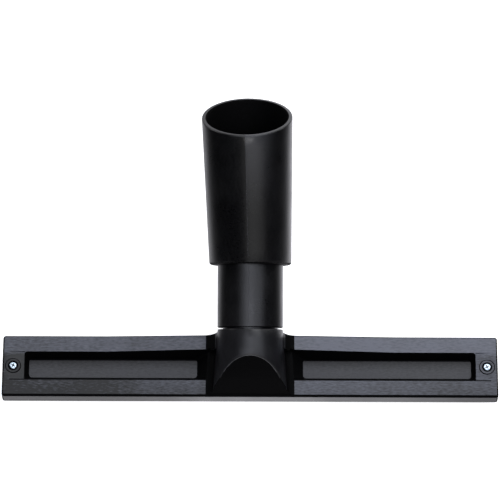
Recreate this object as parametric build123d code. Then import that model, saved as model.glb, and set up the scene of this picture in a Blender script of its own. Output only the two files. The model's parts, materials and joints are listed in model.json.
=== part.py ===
from build123d import *

import os
from math import cos, radians, sin

# Floor nozzle for a wet and dry vacuum cleaner, in millimetres.
# X runs along the head, +Y points back towards the wand, Z is up and the floor is z = 0.
# The origin is the centre of the head's footprint on the floor.

# Head housing
HEAD_LENGTH, HEAD_DEPTH = 360.0, 46.7
TOP_Z, SKIRT_Z = 22.0, 11.0          # rail tops, and the lower edge of the skirt
SKIRT_WALL, ROOF_WALL = 2.5, 2.4
PLAN_RADIUS, EDGE_RADIUS = 2.0, 1.2
RAISE_START, RAISE_HEIGHT = 105.0, 2.6   # the rear rail climbs towards the hood

# The two sunk channels between the rails, each with four sloping walls
CHANNEL_TOP_X, CHANNEL_FLOOR_X = (29.0, 164.1), (38.6, 160.9)
CHANNEL_TOP_Y, CHANNEL_FLOOR_Y = (-10.3, 11.0), (-6.5, 8.0)
CHANNEL_DEPTH, CHANNEL_WALL, CHANNEL_CORNER = 7.5, 2.1, 2.4

# Swivel axis, through the centre of the hood's round rim
RIM_CENTRE = Vector(0, 23.3, 35.5)
SWIVEL_ANGLE, SOCKET_ANGLE = 20.0, 50.0  # elevation of the neck and of the wand socket
SWIVEL_AXIS = Vector(0, cos(radians(SWIVEL_ANGLE)), sin(radians(SWIVEL_ANGLE)))
REST_TURN = -2.6                         # the elbow stands a little to one side of upright

# Hood: a slight cone round the swivel axis, cut by a sloping front face
RIM_RADIUS, HOOD_FLARE, HOOD_REACH = 23.65, 0.06, 62.0
SLOPE_TOP, SLOPE_FOOT = Vector(0, -2.9, 52.0), Vector(0, -22.15, 22.0)
COVE_RADIUS, REAR_COVE = 6.5, 10.8        # inner corners at the rails, wider at the raised rear rail
ARCH_RADIUS, RIM_ROUND = 2.0, 0.6         # rounded edges of the front face and of the rim
BORE_RADIUS, LAND_LENGTH = 20.08, 8.5

# Swivel elbow
NECK_RADIUS, NECK_BORE, NECK_GAP = 23.75, 20.75, 1.3
SPIGOT_RADIUS, SPIGOT_BORE, SPIGOT_REACH = 20.0, 16.8, 12.0
KNEE_DISTANCE = 46.8
CONE_LENGTH, SHOULDER_RADIUS, MOUTH_RADIUS, CONE_WALL = 118.5, 29.8, 32.35, 2.6
SOCKET_RADIUS, SOCKET_LENGTH, STOP_RADIUS, STOP_WIDTH, LEAD_IN = 29.1, 52.0, 26.6, 2.5, 0.65

# Swivel rings, as (near end, far end, inner radius, outer radius) behind the rim
CLIP_RING = (8.8, 11.0, 18.2, 21.4)
SEAL_RING = (2.6, 5.4, 18.2, 20.03)
CLIP_OPENING = 14.0                      # gap that lets the clip spring over the spigot

# Base: two strip rails, two end blocks and the ties over the slot
BASE_INSET, BASE_Z = 2.7, (5.5, 12.1)
BASE_HALF_X, BASE_HALF_Y = HEAD_LENGTH / 2 - BASE_INSET, HEAD_DEPTH / 2 - BASE_INSET
SLOT_HALF, SLOT_END = 9.4, 147.0
GROOVE_Y, GROOVE_Z, GROOVE_MOUTH = (11.4, 18.2), (8.0, 10.7), (12.6, 17.0)
STRIP_Y = 0.5 * (GROOVE_Y[0] + GROOVE_Y[1])
TIE_X, TIE_WIDTH, TIE_Z = (50.0, 98.0), 2.0, (9.6, 12.1)

# Strips in the grooves
STRIP_HALF, STRIP_PLAY = 174.0, 0.12
BRUSH_HALF, BRUSH_THICKNESS, LIP_HALF, LIP_THICKNESS = 171.0, 3.2, 173.0, 2.4
STRIP_ROOT_Z = 9.0                       # how high brush and lip reach into their carriers

# Rollers under the ends
ROLLER_X, ROLLER_RADIUS, ROLLER_WIDTH, ROLLER_BORE = 159.0, 6.0, 12.0, 1.55
AXLE_RADIUS, AXLE_LENGTH, CHEEK_WIDTH, CHEEK_GAP = 1.5, 18.4, 3.0, 0.5
POCKET_HALF_Y, CHEEK_HALF_Y, CHEEK_FOOT_Z = 7.2, 4.4, 3.4

# End screws, self-tapping with pan heads
SCREW_X, SCREW_RADIUS, SCREW_HOLE = 172.2, 1.45, 1.7
SCREW_HEAD_RADIUS, SCREW_HEAD_HEIGHT, SCREW_LENGTH = 2.8, 1.9, 12.6
COUNTERBORE_RADIUS, COUNTERBORE_Z = 3.7, 20.4
COLLAR_RADIUS, COLLAR_GROOVE, COLLAR_GROOVE_DEPTH = 5.2, 0.6, 0.8
PAD_START, PAD_END, PAD_DROP = 164.0, 177.0, 0.9
BOSS_RADIUS = 4.4

BOTTOM = (Align.CENTER, Align.CENTER, Align.MIN)
NOWHERE = 400.0                          # larger than the whole part


def block(x, y, z):
    """A box between two limits on each axis."""
    box = Box(x[1] - x[0], y[1] - y[0], z[1] - z[0], align=(Align.MIN, Align.MIN, Align.MIN))
    return Pos(x[0], y[0], z[0]) * box


def both_ends(shape):
    """The shape and its mirror image on the other side of the head's middle."""
    return shape + mirror(shape, Plane.YZ)


def swivel_plane(distance):
    """Plane square to the swivel axis, at a distance behind (-) or beyond (+) the rim."""
    return Plane(RIM_CENTRE + SWIVEL_AXIS * distance, x_dir=(1, 0, 0), z_dir=SWIVEL_AXIS)


def swivel_round(start, end, radius):
    """A cylinder on the swivel axis, between two distances from the rim."""
    return swivel_plane(start) * Cylinder(radius, end - start, align=BOTTOM)


def swivel_taper(start, end, radius, end_radius):
    """A cone on the swivel axis, between two distances from the rim."""
    return swivel_plane(start) * Cone(radius, end_radius, end - start, align=BOTTOM)


def washer(near, far, inner, outer):
    """A plain ring on the swivel axis, inside the hood."""
    return swivel_round(-far, -near, outer) - swivel_round(-far, -near, inner)


# Head housing

def channel(grow=0.0, above=4.0):
    """One sunk channel as a solid; grow makes the form of its underside."""
    def outline(depth):
        share = depth / CHANNEL_DEPTH
        low_x, high_x, low_y, high_y = (
            top + (floor - top) * share
            for top, floor in zip(CHANNEL_TOP_X + CHANNEL_TOP_Y, CHANNEL_FLOOR_X + CHANNEL_FLOOR_Y)
        )
        size = high_x - low_x + 2 * grow, high_y - low_y + 2 * grow
        centre = Pos(0.5 * (low_x + high_x), 0.5 * (low_y + high_y), TOP_Z - depth)
        return centre * RectangleRounded(*size, CHANNEL_CORNER)
    return loft([outline(CHANNEL_DEPTH + grow), outline(-above)])


def below_slope(inset=0.0):
    """Everything behind and below the hood's front face, moved inwards by the inset."""
    run = SLOPE_FOOT - SLOPE_TOP
    outward = Vector(0, run.Z, -run.Y).normalized()
    face = Plane(SLOPE_FOOT - outward * inset, x_dir=(1, 0, 0), z_dir=-outward)
    return face * Box(NOWHERE, NOWHERE, NOWHERE, align=BOTTOM)


def hood_cone(wall=0.0, start=0.0):
    """The hood's cone from start behind the rim to its full reach, less a wall thickness."""
    near, far = (RIM_RADIUS + HOOD_FLARE * reach - wall for reach in (start, HOOD_REACH))
    return swivel_taper(-HOOD_REACH, -start, far, near)


def coves():
    """Rounded inner corners where the hood's flanks meet the rails."""
    flank = RIM_RADIUS - 0.25
    top, foot = TOP_Z + COVE_RADIUS, flank + COVE_RADIUS
    low = SKIRT_Z + SKIRT_WALL
    outline = make_face([
        Line((flank - 6, low), (foot, low)),
        Line((foot, low), (foot, TOP_Z)),
        RadiusArc((foot, TOP_Z), (flank, top), COVE_RADIUS),
        Line((flank, top), (flank - 4, top + 7)),
        Line((flank - 4, top + 7), (flank - 6, low)),
    ])
    rear = Plane((0, HEAD_DEPTH / 2, 0), x_dir=(1, 0, 0), z_dir=(0, -1, 0))
    strip = extrude(rear * outline, HEAD_DEPTH - EDGE_RADIUS, dir=(HOOD_FLARE, -1, 0))
    return both_ends(strip)


def raised_rail():
    """The rear rail's climb towards the hood, and the wide cove where it meets the rim."""
    rear = Plane((0, HEAD_DEPTH / 2, TOP_Z), x_dir=(1, 0, 0), z_dir=(0, -1, 0))
    flank = RIM_RADIUS - 0.25
    foot, top, root = flank + REAR_COVE, RAISE_HEIGHT + REAR_COVE, -2 * EDGE_RADIUS
    outline = make_face([
        Line((0, root), (RAISE_START, root)),
        Line((RAISE_START, root), (RAISE_START, 0)),
        Line((RAISE_START, 0), (foot, RAISE_HEIGHT)),
        RadiusArc((foot, RAISE_HEIGHT), (flank, top), REAR_COVE),
        Line((flank, top), (0, top)),
        Line((0, top), (0, root)),
    ])
    rail = extrude(rear * outline, HEAD_DEPTH / 2 - CHANNEL_TOP_Y[1], dir=(0, -1, 0))
    back_edges = rail.edges().group_by(Axis.Y)[-1].filter_by(
        lambda edge: edge.center().Z > TOP_Z and edge.center().X > 1)
    return fillet(back_edges, EDGE_RADIUS)


def head_block():
    """Outer form of the head, with the rear rail raised towards the middle."""
    plan = Pos(0, 0, SKIRT_Z) * RectangleRounded(HEAD_LENGTH, HEAD_DEPTH, PLAN_RADIUS)
    body = extrude(plan, TOP_Z - SKIRT_Z)
    body = fillet(body.edges().group_by(Axis.Z)[-1], EDGE_RADIUS)
    return body + both_ends(raised_rail())


def screw_pad():
    """The cut round one screw: a shallow wedge, and a ring groove that leaves a collar."""
    wedge = Plane.XZ * Polygon(
        (PAD_START, TOP_Z + 1), (PAD_START, TOP_Z - PAD_DROP), (PAD_END, TOP_Z), (PAD_END, TOP_Z + 1),
        align=None,
    )
    cut = Pos(0, CHANNEL_TOP_Y[1], 0) * extrude(wedge, CHANNEL_TOP_Y[1] - CHANNEL_TOP_Y[0])
    height = PAD_DROP + COLLAR_GROOVE_DEPTH
    groove = Pos(SCREW_X, 0, TOP_Z - height) * Cylinder(COLLAR_RADIUS + COLLAR_GROOVE, 9, align=BOTTOM)
    collar = Pos(SCREW_X, 0, SKIRT_Z) * Cylinder(COLLAR_RADIUS, TOP_Z - SKIRT_Z, align=BOTTOM)
    return cut + groove - collar


def screw_hole():
    """Counterbore and clearance hole for one end screw."""
    head = Pos(SCREW_X, 0, COUNTERBORE_Z) * Cylinder(COUNTERBORE_RADIUS, 9, align=BOTTOM)
    return head + Pos(SCREW_X, 0, 0) * Cylinder(SCREW_HOLE, NOWHERE)


def underside_hollow():
    """The space under the roof, less the channels' undersides and the screw bosses."""
    half_x, half_y = HEAD_LENGTH / 2 - SKIRT_WALL, HEAD_DEPTH / 2 - SKIRT_WALL
    roof = TOP_Z - ROOF_WALL
    hollow = block((-half_x, half_x), (-half_y, half_y), (0, roof))
    boss = Pos(SCREW_X, 0, BASE_Z[1] + 0.1) * Cylinder(BOSS_RADIUS, TOP_Z, align=BOTTOM)
    return hollow - both_ends(channel(CHANNEL_WALL) + boss)


def hood_hollow():
    """Air space of the hood, open to the space under the roof."""
    half_y = HEAD_DEPTH / 2 - SKIRT_WALL
    space = hood_cone(ROOF_WALL, LAND_LENGTH) & below_slope(ROOF_WALL)
    return space & block((-NOWHERE, NOWHERE), (-half_y, NOWHERE), (0, NOWHERE))


def hood():
    """Outer form of the hood, with the edge of its front face rounded."""
    front = -(HEAD_DEPTH / 2 - EDGE_RADIUS)
    above = block((-NOWHERE, NOWHERE), (front, NOWHERE), (SKIRT_Z, NOWHERE))
    cone = hood_cone()
    rim = cone.edges().sort_by(Axis.Y)[-1]
    cone = fillet(rim, RIM_ROUND) & below_slope() & above
    across = (SLOPE_TOP - SLOPE_FOOT).cross(Vector(1, 0, 0)).normalized()
    arch = cone.edges().filter_by(lambda edge: all(
        abs((edge @ share - SLOPE_FOOT).dot(across)) < 0.01 for share in (0, 0.5, 1)
    ) and (edge @ 0.5).Z > SLOPE_FOOT.Z + 1)
    return fillet(arch, ARCH_RADIUS) + (coves() & below_slope() & above)


def head_housing():
    """One moulding: rails, channels, hood with its swivel bore, and the skirt."""
    body = head_block() - both_ends(channel()) + hood()
    body -= underside_hollow() + hood_hollow()
    body -= swivel_round(-LAND_LENGTH - 1, 1, BORE_RADIUS)
    return body - both_ends(screw_pad() + screw_hole())


# Base

def groove():
    """T-shaped groove for one strip, open downwards and at both ends."""
    cavity = block((-NOWHERE, NOWHERE), GROOVE_Y, GROOVE_Z)
    return cavity + block((-NOWHERE, NOWHERE), GROOVE_MOUTH, (0, GROOVE_Z[0] + 1))


def roller_seat():
    """Material of one roller's two cheeks, which reach below the frame."""
    reach = ROLLER_WIDTH / 2 + CHEEK_GAP
    y, z = (-CHEEK_HALF_Y, CHEEK_HALF_Y), (CHEEK_FOOT_Z, BASE_Z[1])
    inner = block((ROLLER_X - reach - CHEEK_WIDTH, ROLLER_X - reach), y, z)
    return inner + block((ROLLER_X + reach, ROLLER_X + reach + CHEEK_WIDTH), y, z)


def roller_pocket():
    """Room for one roller, and the hole of its axle."""
    reach = ROLLER_WIDTH / 2 + CHEEK_GAP
    pocket = block((ROLLER_X - reach, ROLLER_X + reach), (-POCKET_HALF_Y, POCKET_HALF_Y), (0, TOP_Z))
    return pocket + roller_axle()


def strip_rail():
    """Front rail of the base, which holds one strip's carrier beside the slot."""
    rail = block((-SLOT_END, SLOT_END), (-BASE_HALF_Y, -SLOT_HALF), BASE_Z)
    return rail - mirror(groove(), Plane.XZ)


def rear_strip_rail():
    """The same rail behind the slot, with room for the swivel's clip."""
    clip_room = swivel_round(-SPIGOT_REACH - 0.4, 0, CLIP_RING[3] + 0.4)
    return to_rear(strip_rail()) - clip_room


def end_block():
    """Right end of the base: roller seat, screw pilot and the ends of both grooves."""
    body = block((SLOT_END, BASE_HALF_X), (-BASE_HALF_Y, BASE_HALF_Y), BASE_Z) + roller_seat()
    pilot = Pos(SCREW_X, 0, COUNTERBORE_Z - SCREW_LENGTH) * Cylinder(SCREW_RADIUS, TOP_Z, align=BOTTOM)
    return body - roller_pocket() - pilot - groove() - mirror(groove(), Plane.XZ)


def slot_tie(x):
    """A bar over the slot that holds the two rails apart."""
    return block((x - TIE_WIDTH / 2, x + TIE_WIDTH / 2), (-SLOT_HALF, SLOT_HALF), TIE_Z)


# Swivel elbow

def knee_plane(distance=0.0):
    """Plane square to the socket axis, at a distance from the knee."""
    knee = RIM_CENTRE + SWIVEL_AXIS * KNEE_DISTANCE
    axis = Vector(0, cos(radians(SOCKET_ANGLE)), sin(radians(SOCKET_ANGLE)))
    return Plane(knee + axis * distance, x_dir=(1, 0, 0), z_dir=axis)


def beyond_shoulder(step=0.0):
    """Everything past the shoulder's flat face, which is square to the neck."""
    return swivel_plane(KNEE_DISTANCE + step) * Box(NOWHERE, NOWHERE, NOWHERE, align=BOTTOM)


def cone_radius(distance):
    """Outer radius of the socket at a distance from the knee."""
    return SHOULDER_RADIUS + (MOUTH_RADIUS - SHOULDER_RADIUS) * distance / CONE_LENGTH


def socket_round(start, end, wall=0.0):
    """A length of the tapered socket, less a wall thickness."""
    radii = cone_radius(start) - wall, cone_radius(end) - wall
    return knee_plane(start) * Cone(*radii, end - start, align=BOTTOM)


def socket_bore():
    """Wand bore with its lead-in, stop collar and the air space down to the shoulder."""
    stop = CONE_LENGTH - SOCKET_LENGTH
    bore = knee_plane(stop) * Cylinder(SOCKET_RADIUS, SOCKET_LENGTH + 1, align=BOTTOM)
    lead = Cone(SOCKET_RADIUS, SOCKET_RADIUS + 2 * LEAD_IN, 4 * LEAD_IN, align=BOTTOM)
    bore += knee_plane(CONE_LENGTH - 2 * LEAD_IN) * lead
    bore += knee_plane(stop - STOP_WIDTH - 1) * Cylinder(STOP_RADIUS, STOP_WIDTH + 2, align=BOTTOM)
    hollow = socket_round(-30, stop - STOP_WIDTH, CONE_WALL) & beyond_shoulder(CONE_WALL)
    return bore + hollow


def neck_bore():
    """Air way through the spigot and the neck."""
    narrow_end, wide_start = 4.0, 10.0
    way = swivel_round(-SPIGOT_REACH - 1, narrow_end, SPIGOT_BORE)
    way += swivel_taper(narrow_end, wide_start, SPIGOT_BORE, NECK_BORE)
    return way + swivel_round(wide_start, KNEE_DISTANCE + CONE_WALL + 1, NECK_BORE)


def swivel_elbow():
    """One moulding: spigot, neck, shoulder and wand socket."""
    socket = socket_round(-30, CONE_LENGTH) & beyond_shoulder()
    socket = fillet(socket.edges().filter_by(lambda edge: abs(
        (edge.center() - RIM_CENTRE).dot(SWIVEL_AXIS) - KNEE_DISTANCE) < 1.0), 2.0)
    neck = swivel_round(NECK_GAP, KNEE_DISTANCE + 1, NECK_RADIUS)
    neck = chamfer(neck.edges().sort_by(Axis(RIM_CENTRE, SWIVEL_AXIS))[0], 0.5)
    elbow = socket + neck + swivel_round(-SPIGOT_REACH, NECK_GAP + 1, SPIGOT_RADIUS)
    mouth = elbow.edges().sort_by(Axis(knee_plane().origin, knee_plane().z_dir))[-1]
    elbow = fillet(mouth, 0.9) - socket_bore() - neck_bore()
    for near, far, inner, _ in (CLIP_RING, SEAL_RING):
        elbow -= washer(near, far, inner, SPIGOT_RADIUS + 1)
    return elbow


def retaining_ring():
    """Open spring clip that holds the spigot behind the bore's end."""
    far = swivel_plane(-CLIP_RING[1])
    opening = Box(CLIP_OPENING, 2 * CLIP_RING[3], NOWHERE, align=(Align.CENTER, Align.MIN, Align.CENTER))
    return washer(*CLIP_RING) - far * opening


# Strips, rollers, screws

def carrier(root_half, root_thickness):
    """T-shaped plastic strip with a slot for its brush or lip, on the front groove."""
    y = -STRIP_Y
    head_half = 0.5 * (GROOVE_Y[1] - GROOVE_Y[0]) - STRIP_PLAY
    neck_half = 0.5 * (GROOVE_MOUTH[1] - GROOVE_MOUTH[0]) - STRIP_PLAY
    length = (-STRIP_HALF, STRIP_HALF)
    strip = block(length, (y - head_half, y + head_half), (GROOVE_Z[0] + STRIP_PLAY, GROOVE_Z[1] - STRIP_PLAY))
    strip += block(length, (y - neck_half, y + neck_half), (BASE_Z[0] - 0.6, GROOVE_Z[0] + 1))
    slot_y = (y - root_thickness / 2, y + root_thickness / 2)
    return strip - block((-root_half, root_half), slot_y, (0, STRIP_ROOT_Z))


def brush():
    """Envelope of the bristle row."""
    y = -STRIP_Y
    return block((-BRUSH_HALF, BRUSH_HALF), (y - BRUSH_THICKNESS / 2, y + BRUSH_THICKNESS / 2), (0, STRIP_ROOT_Z))


def lip():
    """Rubber lip with a bevelled wiping edge."""
    y = (STRIP_Y - LIP_THICKNESS / 2, STRIP_Y + LIP_THICKNESS / 2)
    blade = block((-LIP_HALF, LIP_HALF), y, (0, STRIP_ROOT_Z))
    front_foot = blade.edges().filter_by(Axis.X).group_by(Axis.Z)[0].sort_by(Axis.Y)[0]
    return chamfer(front_foot, 1.2)


def roller():
    """Roller with rounded edges, on the right-hand end."""
    body = Cylinder(ROLLER_RADIUS, ROLLER_WIDTH)
    body = fillet(body.edges(), 0.8) - Cylinder(ROLLER_BORE, ROLLER_WIDTH + 1)
    return Pos(ROLLER_X, 0, ROLLER_RADIUS) * Rot(0, 90, 0) * body


def roller_axle():
    """Steel pin that a roller turns on."""
    return Pos(ROLLER_X, 0, ROLLER_RADIUS) * Rot(0, 90, 0) * Cylinder(AXLE_RADIUS, AXLE_LENGTH)


def end_screw():
    """Pan-head self-tapping screw with a cross recess."""
    head = Cylinder(SCREW_HEAD_RADIUS, SCREW_HEAD_HEIGHT, align=BOTTOM)
    head = fillet(head.edges().sort_by(Axis.Z)[-1], 0.9)
    shank = Cylinder(SCREW_RADIUS, SCREW_LENGTH, align=(Align.CENTER, Align.CENTER, Align.MAX))
    shank = chamfer(shank.edges().sort_by(Axis.Z)[0], 0.9)
    recess = Pos(0, 0, SCREW_HEAD_HEIGHT - 1.2)
    cross = recess * Box(3.2, 0.75, 2, align=BOTTOM) + recess * Box(0.75, 3.2, 2, align=BOTTOM)
    return Pos(SCREW_X, 0, COUNTERBORE_Z) * (head + shank - Rot(0, 0, 30) * cross)


def turned(shape):
    """A piece of the elbow, at the elbow's rest turn about the swivel axis."""
    return shape.rotate(Axis(RIM_CENTRE, SWIVEL_AXIS), REST_TURN)


def to_rear(shape):
    """A strip made for the front groove, turned round into the rear one."""
    return shape.rotate(Axis.Z, 180)


def main():
    parts = {
        "head_housing": head_housing(),
        "front_strip_rail": strip_rail(),
        "rear_strip_rail": rear_strip_rail(),
        "swivel_elbow": turned(swivel_elbow()),
        "swivel_retaining_ring": turned(retaining_ring()),
        "swivel_seal_ring": turned(washer(*SEAL_RING)),
        "front_brush_carrier": carrier(BRUSH_HALF, BRUSH_THICKNESS),
        "front_bristles": brush(),
        "rear_lip_carrier": to_rear(carrier(LIP_HALF, LIP_THICKNESS)),
        "rear_rubber_lip": lip(),
    }
    pairs = {
        "end_block": end_block(), "roller": roller(), "roller_axle": roller_axle(), "end_screw": end_screw(),
        "inner_slot_tie": slot_tie(TIE_X[0]), "outer_slot_tie": slot_tie(TIE_X[1]),
    }
    for name, shape in pairs.items():
        parts["right_" + name] = shape
        parts["left_" + name] = mirror(shape, Plane.YZ)
    os.makedirs("parts", exist_ok=True)
    for name, shape in parts.items():
        export_step(shape, f"parts/{name}.step")


main()
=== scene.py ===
# %% [markdown]
# # A floor nozzle for a wet and dry vacuum cleaner
# This is the wide suction head at the end of a vacuum cleaner's wand. Its parts, joints and sizes come
# ready made as a fixed frame of CAD nodes. This lesson adds what the eye needs: smooth mouldings, plastics
# with their grain, a row of real bristles, a ribbed rubber lip, soft light and a camera. The first lines
# load the frame.

import json
from math import cos, pi, radians, sin, tau

import bmesh
import bpy
from mathutils import Matrix, Vector

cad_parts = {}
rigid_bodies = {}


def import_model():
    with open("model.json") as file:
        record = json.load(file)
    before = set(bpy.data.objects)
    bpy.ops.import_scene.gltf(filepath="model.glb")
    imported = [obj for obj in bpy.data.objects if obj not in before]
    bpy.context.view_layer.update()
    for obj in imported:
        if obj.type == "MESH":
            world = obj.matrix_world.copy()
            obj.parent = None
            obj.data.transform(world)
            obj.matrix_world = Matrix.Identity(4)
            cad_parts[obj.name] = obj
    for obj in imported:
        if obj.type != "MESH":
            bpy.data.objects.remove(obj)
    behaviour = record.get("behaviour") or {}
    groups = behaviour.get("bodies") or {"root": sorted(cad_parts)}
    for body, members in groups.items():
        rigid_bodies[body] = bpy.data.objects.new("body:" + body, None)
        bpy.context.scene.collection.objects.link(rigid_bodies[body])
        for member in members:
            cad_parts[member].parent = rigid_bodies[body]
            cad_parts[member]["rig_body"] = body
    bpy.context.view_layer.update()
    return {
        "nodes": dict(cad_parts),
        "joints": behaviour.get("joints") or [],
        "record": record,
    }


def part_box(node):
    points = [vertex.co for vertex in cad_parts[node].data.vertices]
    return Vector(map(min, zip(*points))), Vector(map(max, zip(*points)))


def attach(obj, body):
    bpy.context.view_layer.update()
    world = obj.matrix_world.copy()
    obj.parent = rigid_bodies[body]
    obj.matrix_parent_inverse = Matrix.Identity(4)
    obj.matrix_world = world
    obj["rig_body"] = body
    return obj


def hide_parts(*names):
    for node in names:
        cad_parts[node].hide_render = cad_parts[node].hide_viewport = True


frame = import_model()
MM = 0.001
print("nodes", sorted(frame["nodes"]))

# %% [markdown]
# ## Where things are
# Every place is read from the frame. The elbow turns on the swivel axis, and the wand socket leans back
# from it, so both are kept as a point and a direction. The rails are the flat tops of the head.

# %% Read places from the frame
joints = {joint["name"]: joint for joint in frame["joints"]}
mounts = {mount["name"]: mount for mount in frame["record"]["mounts"]}
swivel_point, swivel_axis = (Vector(joints["elbow_swivel"][key]) for key in ("pos_m", "axis"))
socket_axis = Vector(mounts["wand_socket"]["axis"])
head_low, head_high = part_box("head_housing")
RAIL_TOP = 22 * MM
rail_rear = -head_low.y         # the rails are as deep behind the slot as in front of it
KNEE = 46.8 * MM                # along the swivel axis, where the elbow bends
knee = swivel_point + KNEE * swivel_axis
print("head", [round(size / MM, 1) for size in head_high - head_low], "mm")

# %% [markdown]
# ## Camera
# The nozzle is seen from the front and from high up, at 67 degrees above the floor. A long lens from 2.5 m
# away keeps the ends of the head nearly parallel. The aim lies straight above the head's front top edge in
# the picture, because that edge sets the picture's scale: the head fills almost the whole width.

# %% Camera
VIEW_ELEVATION = radians(67.0)
VIEW_DISTANCE = 2.5
PICTURE_WIDTH = 361.9 * MM      # what the picture spans at the head's front top edge
AIM_RISE = 105.9 * MM           # from that edge up to the middle of the picture
AIM_SIDE = -0.35 * MM
ROLL = radians(0.2)             # the picture hangs a little clockwise
toward_camera = Vector((0, -cos(VIEW_ELEVATION), sin(VIEW_ELEVATION)))
picture_up = Vector((0, sin(VIEW_ELEVATION), cos(VIEW_ELEVATION)))
aim = Vector((AIM_SIDE, head_low.y, RAIL_TOP)) + AIM_RISE * picture_up
camera = bpy.data.objects.new("camera", bpy.data.cameras.new("camera"))
bpy.context.scene.collection.objects.link(camera)
camera.data.sensor_width = 36.0
camera.data.lens = camera.data.sensor_width * VIEW_DISTANCE / PICTURE_WIDTH
camera.location = aim + VIEW_DISTANCE * toward_camera
facing = toward_camera.to_track_quat("Z", "Y").to_matrix()
camera.rotation_euler = (facing @ Matrix.Rotation(ROLL, 3, "Z")).to_euler()
bpy.context.scene.camera = camera
print("lens", round(camera.data.lens, 1), "mm")

# %% [markdown]
# ## Light
# Black plastic shows the room more than itself: each face mirrors one part of its surroundings. So the
# room is kept dark. A broad soft box overhead gives the rails their grey, one further forward lays a soft
# ridge of light along the hood and the neck, and one low in front and a little to the right lays another
# up the socket. A narrow strip draws the edge of the arch, and two boxes behind show the shape to whoever
# walks round it.

# %% Light
HEAD_MIDDLE = (0, 0.05, 0)
FAINT_BLUE, CLEAR_BLUE = (0.93, 0.96, 1.0), (0.86, 0.89, 1.0)
ROOM_GREY = (0.035, 0.035, 0.04, 1)


def soft_box(name, place, aim_at, size, radiance, colour=(1, 1, 1)):
    """A rectangular soft light that faces a point, as bright as its radiance from anywhere."""
    light = bpy.data.lights.new(name, "AREA")
    light.shape = "RECTANGLE"
    light.size, light.size_y = size
    light.energy = radiance * pi * size[0] * size[1]
    light.color = colour
    lamp = bpy.data.objects.new(name, light)
    lamp.location = place
    lamp.rotation_euler = (Vector(place) - Vector(aim_at)).to_track_quat("Z", "Y").to_euler()
    bpy.context.scene.collection.objects.link(lamp)


room = bpy.data.worlds.new("dark_room")
bpy.context.scene.world = room
room.use_nodes = True
room.node_tree.nodes["Background"].inputs["Color"].default_value = ROOM_GREY
bpy.context.scene.view_settings.view_transform = "Standard"
soft_box("overhead_box", (0.45, 1.05, 1.9), HEAD_MIDDLE, (2.2, 1.4), 3.75, FAINT_BLUE)
soft_box("ridge_box", (0.2, -0.6, 2.0), HEAD_MIDDLE, (3.5, 0.8), 1.85, CLEAR_BLUE)
soft_box("middle_box", (-0.1, -0.55, 1.85), HEAD_MIDDLE, (0.9, 0.6), 1.3, CLEAR_BLUE)
soft_box("front_box", (0.5, -1.75, 0.55), (0, 0.1, 0.1), (1.5, 0.7), 0.85)
soft_box("edge_strip", (0.15, -1.6, 1.45), (0, 0, 0.03), (1.0, 0.16), 12.0)
for side in (-1, 1):
    soft_box("rear_box", (1.7 * side, 1.5, 0.75), (0, 0.08, 0.06), (1.6, 1.1), 1.8)

# %% [markdown]
# ## A small language for shaders
# Shader maths reads best as sums. One small class wraps a number socket, so that `1 - worn * 0.5` adds its
# own Math nodes. A second class holds one finish and makes every other node with one method.

# %% Shader helpers
class Number:
    """A number socket of a shader tree that takes part in sums."""

    def __init__(self, tree, socket):
        self.tree, self.socket = tree, socket

    def maths(self, operation, *others, swapped=False):
        node = self.tree.nodes.new("ShaderNodeMath")
        node.operation = operation
        terms = [self, *others]
        for slot, term in zip(node.inputs, reversed(terms) if swapped else terms):
            if isinstance(term, Number):
                self.tree.links.new(term.socket, slot)
            else:
                slot.default_value = term
        return Number(self.tree, node.outputs[0])

    def __add__(self, other):
        return self.maths("ADD", other)

    def __sub__(self, other):
        return self.maths("SUBTRACT", other)

    def __rsub__(self, other):
        return self.maths("SUBTRACT", other, swapped=True)

    def __mul__(self, other):
        return self.maths("MULTIPLY", other)

    def __truediv__(self, other):
        return self.maths("DIVIDE", other)

    __radd__, __rmul__ = __add__, __mul__


class Nodes:
    """A node tree that grows by one method."""

    def node(self, kind, settings=None, inputs=None):
        """Adds a node: its settings first, then the values or links of its sockets."""
        made = self.tree.nodes.new(kind)
        for key, value in (settings or {}).items():
            setattr(made, key, value)
        for key, value in (inputs or {}).items():
            self.feed(made.inputs[key], value)
        return made

    def feed(self, socket, value):
        """Links or sets one socket."""
        if isinstance(value, Number):
            self.tree.links.new(value.socket, socket)
        elif isinstance(value, bpy.types.NodeSocket):
            self.tree.links.new(value, socket)
        else:
            socket.default_value = value


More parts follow.
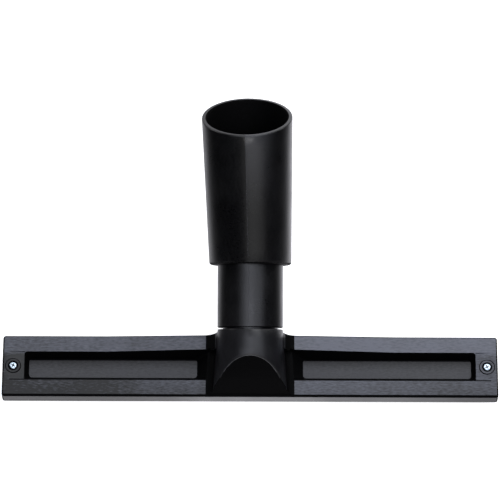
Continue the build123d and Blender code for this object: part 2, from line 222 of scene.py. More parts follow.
class Finish(Nodes):
    """One finish: its material, its Principled shader and its object coordinates."""

    def __init__(self, name):
        self.material = bpy.data.materials.new(name)
        self.material.use_nodes = True
        self.tree = self.material.node_tree
        self.shader = self.tree.nodes["Principled BSDF"]
        self.place = self.node("ShaderNodeTexCoord").outputs["Object"]

    def set(self, **values):
        """Sets sockets of the shader; an underscore in a name stands for a space."""
        for key, value in values.items():
            self.feed(self.shader.inputs[key.replace("_", " ")], value)
        return self

    def stretched(self, x, y, z):
        """Object coordinates scaled along each axis, so that a pattern on them is drawn out."""
        made = self.node("ShaderNodeVectorMath", {"operation": "MULTIPLY"}, {
            0: self.place, 1: (x, y, z)})
        return made.outputs[0]

    def noise(self, size, detail=2.0, place=None):
        """Noise from 0 to 1 whose features have about this size, in metres."""
        made = self.node("ShaderNodeTexNoise", None, {
            "Vector": place or self.place, "Scale": 1 / size, "Detail": detail})
        return Number(self.tree, made.outputs["Fac"])

    def along(self):
        """The x, y and z coordinates as numbers."""
        made = self.node("ShaderNodeSeparateXYZ", None, {"Vector": self.place})
        return [Number(self.tree, socket) for socket in made.outputs]

    def rise(self, value, start, end):
        """Goes smoothly from 0 to 1 as a value goes from start to end."""
        made = self.node("ShaderNodeMapRange", {"interpolation_type": "SMOOTHSTEP"}, {
            "Value": value, "From Min": start, "From Max": end})
        return Number(self.tree, made.outputs["Result"])

    def blend(self, share, first, second):
        """A colour between two colours."""
        ends = [(*end, 1) if isinstance(end, tuple) else end for end in (first, second)]
        sockets = {0: share, 6: ends[0], 7: ends[1]}
        return self.node("ShaderNodeMix", {"data_type": "RGBA"}, sockets).outputs[2]

    def beside(self, point, normal):
        """Distance from a plane, in metres, positive on the side that its normal points to."""
        made = self.node("ShaderNodeVectorMath", {"operation": "DOT_PRODUCT"}, {
            0: self.place, 1: normal})
        return Number(self.tree, made.outputs["Value"]) - point.dot(normal)

    def bump(self, height, depth):
        """Feeds the Normal with a relief of this depth, in metres."""
        made = self.node("ShaderNodeBump", None, {
            "Height": height, "Distance": depth, "Strength": 1.0})
        return self.set(Normal=made.outputs["Normal"])


# %% [markdown]
# ## Floor
# The floor is a sheet of white opal plastic, lit a little from below as on a product table. That keeps it
# pale right up to the nozzle, with only a faint shadow where the head stands. A white floor would also
# show in the sides of the glossy tubes and turn them grey, and a photographer cuts that mirror image with
# a polarising filter. Here the floor isn't seen by mirror rays, and a second sheet just below it is seen
# by nothing else. That sheet is a trick of light that no real room has, made for the main view; from other
# sides it lights less. It glows in a fan round the elbow, wider towards the back because the socket rises
# there, and it is brighter on the right. That draws the bright outlines of the tubes and leaves their
# fronts black. A band in front lights the skirt.

# %% Floor
SHEET_SIZE, MIRROR_DROP, OPAL_GLOW = 14, -1 * MM, 0.85
FAN_FOOT = 60 * MM              # how far in front of the head's middle the fan's sides would meet
FAN_CORE, FAN_HALO, FAN_REST = 0.74, 0.10, 0.02
opal = Finish("opal_sheet")
cloud = opal.noise(0.35, 2)
opal.set(
    Base_Color=opal.blend(cloud, (0.8, 0.8, 0.8), (0.84, 0.84, 0.84)),
    Roughness=0.7,
    Emission_Color=(1, 1, 1, 1),
    Emission_Strength=OPAL_GLOW,
)


def sheet_on_floor(name, finish, height):
    """A wide flat sheet at a height."""
    bpy.ops.mesh.primitive_plane_add(size=SHEET_SIZE, location=(0, 0, height))
    sheet = bpy.context.object
    sheet.name = name
    sheet.data.materials.append(finish.material)
    return sheet


filtered = Finish("filtered_floor")
x, y, _ = filtered.along()
spread = x.maths("ABSOLUTE") / (y.maths("MAXIMUM", 0.0) + FAN_FOOT)
fan = FAN_CORE * filtered.rise(spread, 1.0, 0.45) + FAN_HALO * filtered.rise(spread, 2.2, 0.9) + FAN_REST
fan = fan * (1 + 0.75 * filtered.rise(x, -10 * MM, 40 * MM))
along_front = filtered.rise(y, -95 * MM, -60 * MM) * filtered.rise(y, 20 * MM, -20 * MM)
along_front = along_front * (1.0 + 0.25 * filtered.rise(x, -150 * MM, 60 * MM))
along_front = along_front * (1 - 0.4 * filtered.rise(x, 110 * MM, 170 * MM))
along_front = along_front * filtered.rise(x.maths("ABSOLUTE"), 240 * MM, 185 * MM)
filtered.set(
    Base_Color=(0, 0, 0, 1),
    Specular_IOR_Level=0.0,
    Emission_Color=filtered.blend((fan + along_front) * 0.5, (0, 0, 0), (2, 2, 2.12)),
    Emission_Strength=1.0,
)
filtered.material.cycles.emission_sampling = "NONE"
floor = sheet_on_floor("floor", opal, 0)
floor.visible_glossy = False
mirrored = sheet_on_floor("mirrored_floor", filtered, MIRROR_DROP)
mirrored.visible_camera = False
mirrored.visible_diffuse = False
mirrored.visible_shadow = False
print("floor", floor.dimensions[:2])

# %% [markdown]
# ## Moulded black plastic
# The housing and the elbow are polypropylene from a mould whose steel was spark eroded, which leaves a
# very fine grain. Noise makes the colour and the roughness a little uneven, as flow does, and a fine grain
# feeds the bump. Three functions below also move the colour from place to place. That isn't wear, and the
# real plastic is most likely one even black: they paint in part of the room's light, so that each face has
# the right tone from the main view. Under another light they look wrong, and setting `greyed` to None
# takes them out. The darkest finishes are the same plastic as the rest too. They make walls and rims read
# as the dark lines that they are in shade.

# %% Moulded plastic
GRAIN, SPECKLE, CLOUD = 0.42 * MM, 1.1 * MM, 26 * MM


def moulded(name, dark, light, roughness, grain_depth, specular=0.5, greyed=None, mottle=0.5,
             cloudy=0.2, drawn=0.4):
    """Black moulded plastic with a grain, a faint cloudiness and places where light and shade are painted in.
    """
    finish = Finish(name)
    cloud = finish.rise(finish.noise(CLOUD, 3), 0.35, 0.65)
    grain = finish.noise(GRAIN, 3)
    speckle = finish.noise(SPECKLE, 2, finish.stretched(drawn, 1, 1))
    share = 0.1 + cloudy * cloud + 0.2 * grain + mottle * (speckle - 0.5)
    if greyed:
        share = share + greyed(finish)
    finish.set(
        Base_Color=finish.blend(share, dark, light),
        Roughness=roughness + 0.06 * cloud + 0.1 * (grain - 0.5) + 0.16 * (speckle - 0.5),
        Specular_IOR_Level=specular,
    )
    return finish.bump(grain + speckle, grain_depth)


def rails_greyed(finish):
    """Painted-in light and shade: the rear rail and the right half are lighter, the ends and front edge
    darker.
    """
    x, y, _ = finish.along()
    rear = finish.rise(y, 7 * MM, 12 * MM)
    right = finish.rise(x, -25 * MM, 25 * MM)
    left_end = finish.rise(x, -60 * MM, -125 * MM)
    right_end = finish.rise(x, 100 * MM, 150 * MM)
    end_lands = finish.rise(x.maths("ABSOLUTE"), 163 * MM, 167 * MM)
    front_edge = finish.rise(y, -12 * MM, -22 * MM)
    ends = 0.32 * left_end + 0.12 * right_end + 0.05 * end_lands + 0.12 * front_edge
    return 0.23 * rear + 0.05 + right * (0.20 + 0.10 * rear) - ends * (1 - rear)


def channels_greyed(finish):
    """Painted-in light: the channels' floors are lighter in front, and dark under their rear walls."""
    y = finish.along()[1]
    return 0.75 * finish.rise(y, 8 * MM, -4 * MM) - 0.15


rail_black = moulded("rail_black", (0.008, 0.008, 0.0095), (0.123, 0.129, 0.158), 0.40, 0.035 * MM,
                     specular=0.3, greyed=rails_greyed, mottle=1.1, drawn=0.3)
channel_black = moulded("channel_black", (0.006, 0.006, 0.007), (0.047, 0.047, 0.053), 0.48, 0.04 * MM,
                        specular=0.35, greyed=channels_greyed, mottle=1.2)
hood_black = moulded("hood_black", (0.003, 0.003, 0.004), (0.006, 0.006, 0.008), 0.33, 0.015 * MM)
# This finish is nearly black and matt: it paints shade on the housing's walls, rims, grooves and shaded
# corners.
painted_shade_black = moulded("painted_shade_black", (0.0005, 0.0005, 0.0006), (0.0015, 0.0015, 0.002), 0.6, 0.03 * MM,
                     specular=0.04)
skirt_black = moulded("skirt_black", (0.02, 0.02, 0.02), (0.05, 0.05, 0.05), 0.42, 0.02 * MM,
                      specular=0.6)
# The next finish is nearly black and matt: it paints shade inside the elbow's bores and under its shoulder.
painted_bore_shade = moulded("painted_bore_shade", (0.0004, 0.0004, 0.0005), (0.001, 0.001, 0.0012), 0.6, 0.02 * MM,
                     specular=0.08)
seam_side = swivel_axis.cross(socket_axis).normalized()
seam_side = seam_side if seam_side.x > 0 else -seam_side


def beyond_seam(finish):
    """Painted-in light: lighter beside the parting line, on its right and towards the mouth."""
    side = finish.beside(swivel_point, seam_side)
    z = finish.along()[2]
    near = finish.rise(side, -0.15 * MM, 0.15 * MM) * finish.rise(side, 23 * MM, 5 * MM)
    return near * (0.03 + 0.95 * finish.rise(z, 110 * MM, 165 * MM)) - 0.2


elbow_black = moulded("elbow_black", (0.0006, 0.0006, 0.0010), (0.034, 0.034, 0.038), 0.30, 0.020 * MM,
                      greyed=beyond_seam, mottle=0.25, cloudy=0.05)
# The next finish is lighter than the plastic round it, and paints a highlight along each ridge.
flash_and_painted_highlight = moulded("flash_and_painted_highlight", (0.045, 0.045, 0.050), (0.090, 0.090, 0.100), 0.34, 0.010 * MM)
base_black = moulded("base_black", (0.010, 0.010, 0.011), (0.030, 0.030, 0.031), 0.55, 0.05 * MM)

# %% [markdown]
# ## Smooth mouldings
# The CAD housing and elbow have the right shape, but they are loose triangles and would look faceted.
# Their CAD mesh must not change, so each gets a skin: a copy whose triangles are welded, shaded smoothly,
# and sharp only where two faces meet at a real edge. The housing's skin also gets a finish for each zone:
# the rails, the channels' floors, the hood, the skirt in front, and a near-black finish that paints shade
# on every wall, rim and groove, on the arch's flat face, the hood's foot and the channels' rear corners.
# Planes cut the copy along the borders first, so that each face lies in one zone and the borders are
# clean. The cuts add edges and don't change the shape.

# %% Skins
MERGE_GAP, SLIVER = 0.002 * MM, 0.001 * MM


def weld(mesh, sharp_angle, cuts=()):
    """Merges the loose triangles of a mesh, parts them along planes and marks the real edges."""
    shape = bmesh.new()
    shape.from_mesh(mesh)
    bmesh.ops.remove_doubles(shape, verts=shape.verts, dist=MERGE_GAP)
    bmesh.ops.dissolve_degenerate(shape, edges=shape.edges, dist=SLIVER)
    for point, normal in cuts:
        everything = [*shape.verts, *shape.edges, *shape.faces]
        bmesh.ops.bisect_plane(shape, geom=everything, plane_co=point, plane_no=normal)
    for face in shape.faces:
        face.smooth = True
    for edge in shape.edges:
        edge.smooth = edge.calc_face_angle(0) < radians(sharp_angle)
    shape.to_mesh(mesh)
    shape.free()


def skin(node, finishes, zone=None, sharp_angle=32, cuts=()):
    """A smooth welded copy that stands for a CAD node, with a finish for each zone."""
    source = frame["nodes"][node]
    piece = bpy.data.objects.new(node + "_skin", source.data.copy())
    bpy.context.scene.collection.objects.link(piece)
    weld(piece.data, sharp_angle, cuts)
    piece.data.materials.clear()
    for finish in finishes:
        piece.data.materials.append(finish.material)
    for face in piece.data.polygons:
        face.material_index = zone(face) if zone else 0
    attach(piece, source["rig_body"])
    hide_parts(node)
    return piece


slots = {part["node"]: part["material_slot"] for part in frame["record"]["subparts"]}
RAILS, CHANNELS, HOOD, PAINTED_SHADE, SKIRT = range(5)
RAIL_END = 32.2 * MM            # where the rails stop, beside the hood
HOOD_FOOT = RAIL_TOP + 3.5 * MM     # below this height the hood is painted near black, as shade
COVE_TOP = RAIL_TOP + 7 * MM        # and its rear coves below this one
SKIRT_TOP = 20.4 * MM           # the front face is lighter below this height, and painted near black above it, as shade
# The rims along the front, the rear and the ends are painted near black, as shade along their edges.
FRONT_RIM, REAR_RIM, END_RIM = head_low.y + 1.5 * MM, rail_rear - 0.5 * MM, head_high.x - 1.0 * MM
FRONT_LIP, REAR_CORNER = -11.0 * MM, 6.9 * MM       # where the shade painted along the channels' front and rear edges starts
CHANNEL_Y, CHANNEL_X, PAD_END = (-10.3 * MM, 11.1 * MM), 163.9 * MM, 175 * MM
SCREW_RING = 5.85 * MM          # the outer radius of the groove round a screw, which is painted near black as shade
SUNK, GROOVED = RAIL_TOP - 0.1 * MM, RAIL_TOP - 0.02 * MM   # faces below these lie in a channel or a groove
HOOD_REACH, SIDE_FOOT = RAIL_TOP - 8 * MM, RAIL_TOP - 6 * MM
FORWARDS, UPWARDS, LEVEL = -0.9, 0.9, 0.96
ARCH_NORMAL_Y, ARCH_SPREAD_Y, ARCH_SPREAD_X = -0.842, 0.02, 0.05
screw_low, screw_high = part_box("right_end_screw")
screw_x = (screw_low.x + screw_high.x) / 2


def on_arch(normal):
    """Whether a face lies in the flat arch that cuts the front off the hood."""
    return abs(normal.y - ARCH_NORMAL_Y) < ARCH_SPREAD_Y and abs(normal.x) < ARCH_SPREAD_X


def housing_zone(face):
    """Which finish a face of the housing gets, by where it lies and which way it points."""
    x, y, z = face.center
    normal = face.normal
    if y < FRONT_RIM:
        return SKIRT if normal.y < FORWARDS and z < SKIRT_TOP else PAINTED_SHADE
    if abs(x) < RAIL_END and z > HOOD_REACH:
        matt_below = COVE_TOP if y > CHANNEL_Y[1] else HOOD_FOOT
        return PAINTED_SHADE if on_arch(normal) or z < matt_below else HOOD
    if CHANNEL_Y[0] < y < CHANNEL_Y[1] and z < SUNK and abs(x) < CHANNEL_X:
        return CHANNELS if normal.z > UPWARDS and y < REAR_CORNER else PAINTED_SHADE
    if FRONT_LIP < y < (0 if abs(x) < CHANNEL_X else CHANNEL_Y[0]) and abs(x) < PAD_END:
        return PAINTED_SHADE
    if Vector((abs(x) - screw_x, y)).length < SCREW_RING and z < GROOVED:
        return PAINTED_SHADE
    if normal.z > LEVEL:
        return PAINTED_SHADE if y > REAR_RIM or abs(x) > END_RIM else RAILS
    return RAILS if z < SIDE_FOOT else PAINTED_SHADE


across_x = [((x, 0, 0), (1, 0, 0)) for end in (RAIL_END, PAD_END, END_RIM) for x in (-end, end)]
across_y = [((0, y, 0), (0, 1, 0)) for y in (FRONT_RIM, FRONT_LIP, REAR_CORNER, REAR_RIM)]
across_z = [((0, 0, z), (0, 0, 1)) for z in (SKIRT_TOP, HOOD_FOOT, COVE_TOP)]
housing_finishes = (rail_black, channel_black, hood_black, painted_shade_black, skirt_black)
housing = skin("head_housing", housing_finishes, housing_zone, cuts=[*across_x, *across_y, *across_z])


DOWN_NECK, INWARDS = -0.3, -0.25


def elbow_zone(face):
    """0 outside the elbow, and 1 in its bores and under its shoulder, where a near-black finish paints shade.
    """
    if face.normal.dot(swivel_axis) < DOWN_NECK and face.normal.dot(socket_axis) < INWARDS:
        return 1
    from_knee = face.center - knee
    axis = socket_axis if from_knee.dot(swivel_axis + socket_axis) > 0 else swivel_axis
    outwards = from_knee - from_knee.project(axis)
    return 1 if outwards.normalized().dot(face.normal) < INWARDS else 0


elbow = skin("swivel_elbow", (elbow_black, painted_bore_shade), elbow_zone)
print("skins", len(housing.data.polygons), len(elbow.data.polygons), "faces")

# %% [markdown]
# ## The small parts' finishes
# Each small part has the finish of its own material: drawn plastic for the strip carriers, with fine lines
# along the draw; clean acetal for the clip; rubber for the seal and the lip; polyamide for the rollers;
# blue-passivated zinc for the screws; ground steel for the axles; and black nylon for the bristles.

# %% Small finishes
def lined(name, dark, light, roughness, lines, depth, **constants):
    """A finish with fine lines, given by how much each axis of the noise is squeezed."""
    finish = Finish(name)
    line = finish.noise(0.5 * MM, 3, finish.stretched(*lines))
    cloud = finish.noise(14 * MM, 2)
    finish.set(
        Base_Color=finish.blend(0.6 * line + 0.4 * cloud, dark, light),
        Roughness=roughness + 0.15 * (line - 0.5) + 0.08 * (cloud - 0.5),
        **constants,
    )
    return finish.bump(line, depth)


ALONG_X, EVEN = (0.02, 1, 1), (1, 1, 1)
drawn_grey = lined("drawn_grey", (0.030, 0.030, 0.032), (0.055, 0.055, 0.058), 0.42, ALONG_X, 0.02 * MM)
acetal = lined("natural_acetal", (0.58, 0.57, 0.53), (0.66, 0.65, 0.61), 0.28, EVEN, 0.01 * MM)
rubber = lined("soft_rubber", (0.016, 0.016, 0.016), (0.034, 0.034, 0.034), 0.72, EVEN, 0.02 * MM)
seal = lined("seal_rubber", (0.014, 0.014, 0.014), (0.024, 0.024, 0.024), 0.5, EVEN, 0.01 * MM)
polyamide = lined("grey_polyamide", (0.085, 0.087, 0.092), (0.135, 0.137, 0.142), 0.46, (0.1, 1, 1),
                  0.02 * MM)
steel = lined("ground_steel", (0.52, 0.53, 0.54), (0.66, 0.67, 0.68), 0.25, (1, 0.05, 0.05), 0.004 * MM,
              Metallic=1.0)
zinc = lined("bright_zinc", (0.50, 0.58, 0.66), (0.80, 0.85, 0.90), 0.26, EVEN, 0.02 * MM, Metallic=1.0)
screw_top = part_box("left_end_screw")[1].z
z = zinc.along()[2]
sheen = zinc.blend(zinc.noise(0.9 * MM, 2), (0.22, 0.29, 0.36), (0.62, 0.70, 0.78))
# Below its top the screw's colour goes near black: painted shade in the counterbore round its head.
above_painted_shade = zinc.rise(z, screw_top - 0.9 * MM, screw_top - 0.35 * MM)
zinc.set(Base_Color=zinc.blend(above_painted_shade, (0.015, 0.018, 0.022), sheen))
nylon = lined("black_nylon", (0.006, 0.006, 0.007), (0.022, 0.022, 0.024), 0.34, (1, 1, 0.1), 0.004 * MM)

# %% [markdown]
# ## Hand out the finishes
# The nodes without a skin keep their CAD mesh as it is. Each one only gets the finish of its material
# slot.

# %% Give the CAD nodes their finishes
finishes = {
    "base_plastic": base_black, "carrier_plastic": drawn_grey, "clip_plastic": acetal, "seal_rubber": seal,
    "screw_zinc": zinc, "axle_steel": steel, "roller_plastic": polyamide, "bristle_nylon": nylon,
    "lip_rubber": rubber,
}
for name, node in sorted(frame["nodes"].items()):
    if name in ("head_housing", "swivel_elbow"):
        continue
    node.data.materials.clear()
    node.data.materials.append(finishes[slots[name]].material)
print("finished", len(frame["nodes"]), "nodes")

# %% [markdown]
# ## Geometry Nodes
# The bristles and the ribs of the lip are one small shape repeated hundreds of times, which is work for
# Geometry Nodes. A recipe is a node tree with named inputs. It is grown on an object, turned into a plain
# mesh, and its modifier is taken off again.

# %% Geometry recipes
class Recipe(Nodes):
    """A geometry tree with named inputs, ending in one geometry."""

    def __init__(self, name, inputs):
        self.tree = bpy.data.node_groups.new(name, "GeometryNodeTree")
        self.keys = {}
        for key, kind in inputs.items():
            socket = self.tree.interface.new_socket(
                key, in_out="INPUT", socket_type="NodeSocket" + kind)
            self.keys[key] = socket.identifier
        self.tree.interface.new_socket("Geometry", in_out="OUTPUT", socket_type="NodeSocketGeometry")
        self.given = self.tree.nodes.new("NodeGroupInput").outputs

    def number(self, key):
        """A named input as a number that takes part in sums."""
        return Number(self.tree, self.given[key])

    def random(self, low, high, seed, lane):
        """A random number for each point; each lane gives another one."""
        made = self.node("FunctionNodeRandomValue", {"data_type": "FLOAT"}, {2: low, 3: high})
        self.feed(made.inputs["Seed"], seed + lane)
        return Number(self.tree, made.outputs[1])

    def vector(self, x, y, z):
        """Three numbers as one vector."""
        return self.node("ShaderNodeCombineXYZ", None, {0: x, 1: y, 2: z}).outputs[0]

    def end(self, geometry, material):
        """Real geometry, in its material, leaves the tree."""
        real = self.node("GeometryNodeRealizeInstances", None, {0: geometry}).outputs[0]
        smooth = self.node("GeometryNodeSetShadeSmooth", None, {0: real}).outputs[0]
        done = self.node("GeometryNodeSetMaterial", None, {
            0: smooth, "Material": material}).outputs[0]
        self.feed(self.tree.nodes.new("NodeGroupOutput").inputs[0], done)

    def grow(self, name, mesh, **values):
        """Grows the recipe on a mesh and returns a plain object."""
        piece = bpy.data.objects.new(name, mesh)
        bpy.context.scene.collection.objects.link(piece)
        modifier = piece.modifiers.new(name, "NODES")
        modifier.node_group = self.tree
        for key, value in values.items():
            modifier[self.keys[key.replace("_", " ")]] = value
        evaluated = piece.evaluated_get(bpy.context.evaluated_depsgraph_get())
        plain_mesh = bpy.data.meshes.new_from_object(evaluated)
        piece.modifiers.remove(modifier)
        piece.data = plain_mesh
        print(name, len(plain_mesh.polygons), "faces")
        return piece


# %% [markdown]
# ## Bristles
# The front strip is a brush: tufts of nylon filament stand in two staggered rows in the carrier. One block
# of plastic would never look like that, and modelling each filament by hand is hopeless. The recipe places
# every filament by its number: the whole part of number / filaments gives its tuft, two random numbers
# give its place in the tuft, and more give its tilt and its length. The filaments hang from their roots,
# so that their tips spread a little, and none reaches below the floor.

# %% Bristle recipe
FILAMENT_SIDES, FILAMENT_SEGMENTS = 5, 3
TIP_SHARE, SHORTEST, DRIFT_SCALE = 0.7, 0.93, 180.0
bristles = Recipe("bristle_row", {
    "Tufts": "Int", "Filaments": "Int", "Pitch": "Float", "Row Offset": "Float", "Tuft Radius": "Float",
    "Filament Radius": "Float", "Length": "Float", "Splay": "Float", "Curl": "Float", "Seed": "Int",
    "Finish": "Material"})
tufts, filaments, seed = (bristles.number(key) for key in ("Tufts", "Filaments", "Seed"))
index = Number(bristles.tree, bristles.node("GeometryNodeInputIndex").outputs[0])
tuft = (index / filaments).maths("FLOOR")
row = tuft.maths("MODULO", 2.0) - 0.5
turn = bristles.random(0.0, tau, seed, 1)
reach = bristles.random(0.0, 1.0, seed, 2).maths("SQRT") * bristles.number("Tuft Radius")
along = (tuft - (tufts - 1) / 2) * bristles.number("Pitch") + reach * turn.maths("COSINE")
across = row * bristles.number("Row Offset") + reach * turn.maths("SINE")
roots = bristles.node("GeometryNodePoints", None, {
    "Count": tufts * filaments, "Position": bristles.vector(along, across, 0.0)}).outputs[0]
splay = bristles.number("Splay")
lean_x = bristles.random(-1.0, 1.0, seed, 3) * splay + pi
lean_y = bristles.random(-1.0, 1.0, seed, 4) * splay
filament = bristles.node("GeometryNodeMeshCone", None, {
    "Vertices": FILAMENT_SIDES, "Side Segments": FILAMENT_SEGMENTS,
    "Radius Top": bristles.number("Filament Radius") * TIP_SHARE,
    "Radius Bottom": bristles.number("Filament Radius"), "Depth": bristles.number("Length")}).outputs["Mesh"]
row_of = bristles.node("GeometryNodeInstanceOnPoints", None, {
    "Points": roots, "Instance": filament, "Rotation": bristles.vector(lean_x, lean_y, turn),
    "Scale": bristles.vector(1.0, 1.0, bristles.random(SHORTEST, 1.0, seed, 5))}).outputs[0]
solid_row = bristles.node("GeometryNodeRealizeInstances", None, {0: row_of}).outputs[0]
point = bristles.node("GeometryNodeInputPosition").outputs[0]
depth = Number(bristles.tree, bristles.node("ShaderNodeSeparateXYZ", None, {0: point}).outputs["Z"])
bend = (depth / bristles.number("Length")).maths("POWER", 2.0) * bristles.number("Curl")
drift = bristles.node("ShaderNodeTexNoise", None, {"Vector": point, "Scale": DRIFT_SCALE}).outputs["Color"]
drift = bristles.node("ShaderNodeVectorMath", {"operation": "SUBTRACT"}, {
    0: drift, 1: (0.5, 0.5, 0.5)}).outputs[0]
drift = bristles.node("ShaderNodeVectorMath", {"operation": "MULTIPLY"}, {
    0: drift, 1: bristles.vector(bend, bend, 0.0)}).outputs[0]
swept = bristles.node("GeometryNodeSetPosition", None, {"Geometry": solid_row, "Offset": drift}).outputs[0]
bristles.end(swept, bristles.given["Finish"])

# %% [markdown]
# The recipe is grown once, with the sizes of the CAD block that stands for the brush, and moved up to the
# carrier. The result takes that block's place.

# %% Grow the bristles
brush_low, brush_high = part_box("front_bristles")
brush_length = brush_high.x - brush_low.x
TUFT_PITCH = 2.6 * MM
brush = bristles.grow(
    "front_bristle_tufts", bpy.data.meshes.new("front_bristle_tufts"),
    Tufts=int(brush_length / TUFT_PITCH) - 1, Filaments=22, Pitch=TUFT_PITCH,
    Row_Offset=1.1 * MM, Tuft_Radius=0.95 * MM, Filament_Radius=0.15 * MM,
    Length=brush_high.z - brush_low.z, Splay=0.06, Curl=2.2 * MM, Seed=7, Finish=nylon.material)
brush_root = Vector((0, (brush_low.y + brush_high.y) / 2, brush_high.z))
brush.data.transform(Matrix.Translation(brush_root))
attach(brush, "head")
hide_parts("front_bristles")
print("brush", [round(size / MM, 1) for size in brush.dimensions], "mm")

# %% [markdown]
# ## Rubber lip
# The rear strip is a squeegee lip that wipes water towards the slot. Its face towards the slot carries
# fine upright ribs, which let water through when the nozzle is pulled, and its rear face is smooth. The
# blade is one profile drawn along the head, and a recipe stands the ribs on it.

# %% Lip
lip_low, lip_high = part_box("rear_rubber_lip")


def drawn_along(name, outline, start, end):
    """A closed bar with a (y, z) outline, drawn along X."""
    shape = bmesh.new()
    rings = [[shape.verts.new((x, y, z)) for y, z in outline] for x in (start, end)]
    for one, two in zip(range(len(outline)), [*range(1, len(outline)), 0]):
        shape.faces.new((rings[0][one], rings[0][two], rings[1][two], rings[1][one]))
    for ring in rings:
        shape.faces.new(ring)
    bmesh.ops.recalc_face_normals(shape, faces=shape.faces)
    mesh = bpy.data.meshes.new(name)
    shape.to_mesh(mesh)
    shape.free()
    return mesh


BLADE_STEP = 0.7 * MM           # how far the blade's face stands back from the ribs' tops
blade_face = lip_low.y + BLADE_STEP
blade = drawn_along("blade", [
    (lip_low.y, lip_high.z), (lip_low.y, 6.2 * MM), (blade_face, 5.6 * MM), (blade_face, 0.35 * MM),
    (blade_face + 0.3 * MM, 0), (lip_high.y - 0.25 * MM, 0), (lip_high.y, 0.25 * MM),
    (lip_high.y, lip_high.z),
], lip_low.x, lip_high.x)
ribs = Recipe("lip_ribs", {
    "Blade": "Geometry", "Ribs": "Int", "Pitch": "Float", "Rib Radius": "Float", "Rib Height": "Float",
    "Start": "Vector", "Finish": "Material"})
rib = ribs.node("GeometryNodeMeshCylinder", None, {
    "Vertices": 10, "Radius": ribs.number("Rib Radius"), "Depth": ribs.number("Rib Height")}).outputs["Mesh"]
line = ribs.node("GeometryNodeMeshLine", None, {
    "Count": ribs.given["Ribs"], "Start Location": ribs.given["Start"],
    "Offset": ribs.vector(ribs.number("Pitch"), 0.0, 0.0)}).outputs[0]
standing = ribs.node("GeometryNodeInstanceOnPoints", None, {"Points": line, "Instance": rib}).outputs[0]
both = ribs.node("GeometryNodeJoinGeometry")
ribs.feed(both.inputs[0], ribs.given["Blade"])
ribs.feed(both.inputs[0], standing)
ribs.end(both.outputs[0], ribs.given["Finish"])
RIB_PITCH, RIB_RADIUS, RIB_FOOT, RIB_TOP = 3.0 * MM, 0.65 * MM, 0.3 * MM, 5.9 * MM
rib_count = int((lip_high.x - lip_low.x) / RIB_PITCH) - 1
first_rib = (-(rib_count - 1) * RIB_PITCH / 2, lip_low.y + RIB_RADIUS, (RIB_FOOT + RIB_TOP) / 2)
lip = ribs.grow("rear_ribbed_lip", blade, Ribs=rib_count, Pitch=RIB_PITCH, Rib_Radius=RIB_RADIUS,
                Rib_Height=RIB_TOP - RIB_FOOT, Start=first_rib, Finish=rubber.material)
for edge in lip.data.edges:
    edge.use_edge_sharp = False
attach(lip, "head")
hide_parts("rear_rubber_lip")
print("lip", [round(size / MM, 1) for size in lip.dimensions], "mm")

# %% [markdown]
# ## Rollers
# Each end runs on a small polyamide roller with two grooves in its tread and dished faces round the hub.
# The profile is turned on a lathe: drawn once as steps along the axle, and spun round it.

# %% Rollers
ROLLER_PROFILE = [
    (-6.0, 1.55), (-6.0, 2.7), (-5.4, 3.0), (-5.4, 4.6), (-6.0, 4.9), (-6.0, 5.6), (-5.88, 5.88), (-5.6, 6.0),
    (-2.4, 6.0), (-2.1, 5.55), (-1.8, 6.0), (1.8, 6.0), (2.1, 5.55), (2.4, 6.0), (5.6, 6.0), (5.88, 5.88),
    (6.0, 5.6), (6.0, 4.9), (5.4, 4.6), (5.4, 3.0), (6.0, 2.7), (6.0, 1.55),
]
ROLLER_STEPS, ROLLER_SHARP = 72, 25


def turned_roller(side):
    """One roller, on its own body, in place of its CAD node."""
    name = side + "_roller"
    low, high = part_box(name)
    hub = (low + high) / 2
    shape = bmesh.new()
    rings = []
    for step in range(ROLLER_STEPS):
        angle = tau * step / ROLLER_STEPS
        spoke = Vector((0, cos(angle), sin(angle)))
        points = [hub + Vector((x * MM, 0, 0)) + r * MM * spoke for x, r in ROLLER_PROFILE]
        rings.append([shape.verts.new(point) for point in points])
    count = len(ROLLER_PROFILE)
    for one, two in zip(rings, rings[1:] + rings[:1]):
        for here in range(count):
            there = (here + 1) % count
            shape.faces.new((one[here], one[there], two[there], two[here]))
    bmesh.ops.recalc_face_normals(shape, faces=shape.faces)
    mesh = bpy.data.meshes.new(name + "_turned")
    shape.to_mesh(mesh)
    shape.free()
    weld(mesh, ROLLER_SHARP)
    mesh.materials.append(polyamide.material)
    piece = bpy.data.objects.new(name + "_turned", mesh)
    bpy.context.scene.collection.objects.link(piece)
    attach(piece, name)
    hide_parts(name)
    return piece


rollers = [turned_roller(side) for side in ("left", "right")]
print("rollers", len(rollers[0].data.polygons), "faces each")

# %% [markdown]
# ## Flash lines and a highlight ridge
# Where the halves of a mould meet, a hair of plastic gets in between, and leaves a fine raised line. The
# elbow has one all along the front of the neck and the socket. Paint or a bump could only fake them, so
# each is a low ridge of mesh that follows a path on the surface. A ridge of the same kind runs over the
# top of the hood's arch, to draw a thin highlight along its edge. The ridges' finish is lighter than the
# plastic beside them, which paints a highlight along each one.

# %% Flash lines
SHOULDER, MOUTH, CONE = 29.8 * MM, 32.35 * MM, 118.5 * MM
CONE_START, CONE_STEPS = 21 * MM, 12
FLASH_WIDTH, FLASH_HEIGHT, FLASH_ROOT = 0.40 * MM, 0.10 * MM, 0.1 * MM
ARCH_HIGHLIGHT_FOOT = RAIL_TOP + 15 * MM


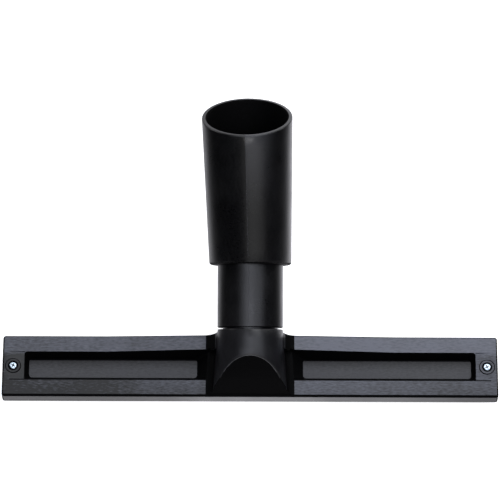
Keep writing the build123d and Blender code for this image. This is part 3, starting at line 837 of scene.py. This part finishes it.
def flash_line(name, body, path, away):
    """A low ridge along a path, raised in one direction."""
    shape = bmesh.new()
    rings = []
    for before, here, after in zip([path[0], *path], path, [*path[1:], path[-1]]):
        across = (after - before).cross(away).normalized() * FLASH_WIDTH / 2
        rings.append([shape.verts.new(here + offset) for offset in (
            -across - FLASH_ROOT * away, FLASH_HEIGHT * away, across - FLASH_ROOT * away)])
    for one, two in zip(rings, rings[1:]):
        for here, there in ((0, 1), (1, 2), (2, 0)):
            shape.faces.new((one[here], one[there], two[there], two[here]))
    shape.faces.new(rings[0])
    shape.faces.new(rings[-1])
    bmesh.ops.recalc_face_normals(shape, faces=shape.faces)
    mesh = bpy.data.meshes.new(name)
    shape.to_mesh(mesh)
    shape.free()
    mesh.materials.append(flash_and_painted_highlight.material)
    piece = bpy.data.objects.new(name, mesh)
    bpy.context.scene.collection.objects.link(piece)
    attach(piece, body)
    return piece


def front_of(axis):
    """The direction from an axis of the elbow to the parting line in front of it."""
    away = seam_side.cross(axis).normalized()
    return away if away.y < 0 else -away


neck_front, socket_front = front_of(swivel_axis), front_of(socket_axis)
NECK_RADIUS, NECK_SPAN = 23.75 * MM, (2 * MM, 44 * MM)
neck_path = [swivel_point + along * swivel_axis + NECK_RADIUS * neck_front for along in NECK_SPAN]
socket_path = []
for step in range(CONE_STEPS + 1):
    along = CONE_START + step / CONE_STEPS * (CONE - CONE_START - 0.5 * MM)
    radius = SHOULDER + (MOUTH - SHOULDER) * along / CONE
    socket_path.append(knee + along * socket_axis + radius * socket_front)
arch_shape = bmesh.new()
arch_shape.from_mesh(housing.data)
arch_edge = set()
for edge in arch_shape.edges:
    flat = [on_arch(face.normal) for face in edge.link_faces]
    if any(flat) and not all(flat) and min(vert.co.z for vert in edge.verts) > ARCH_HIGHLIGHT_FOOT:
        arch_edge.update(tuple(vert.co) for vert in edge.verts)
arch_shape.free()
arch_path = [Vector(point) for point in sorted(arch_edge)]
arch_away = Vector((0, -0.6, 0.8))
flash_lines = [
    flash_line("neck_parting_line", "elbow", neck_path, neck_front),
    flash_line("socket_parting_line", "elbow", socket_path, socket_front),
    flash_line("arch_edge_highlight_ridge", "head", arch_path, arch_away),
]
print("flash lines", [len(piece.data.polygons) for piece in flash_lines], "faces")
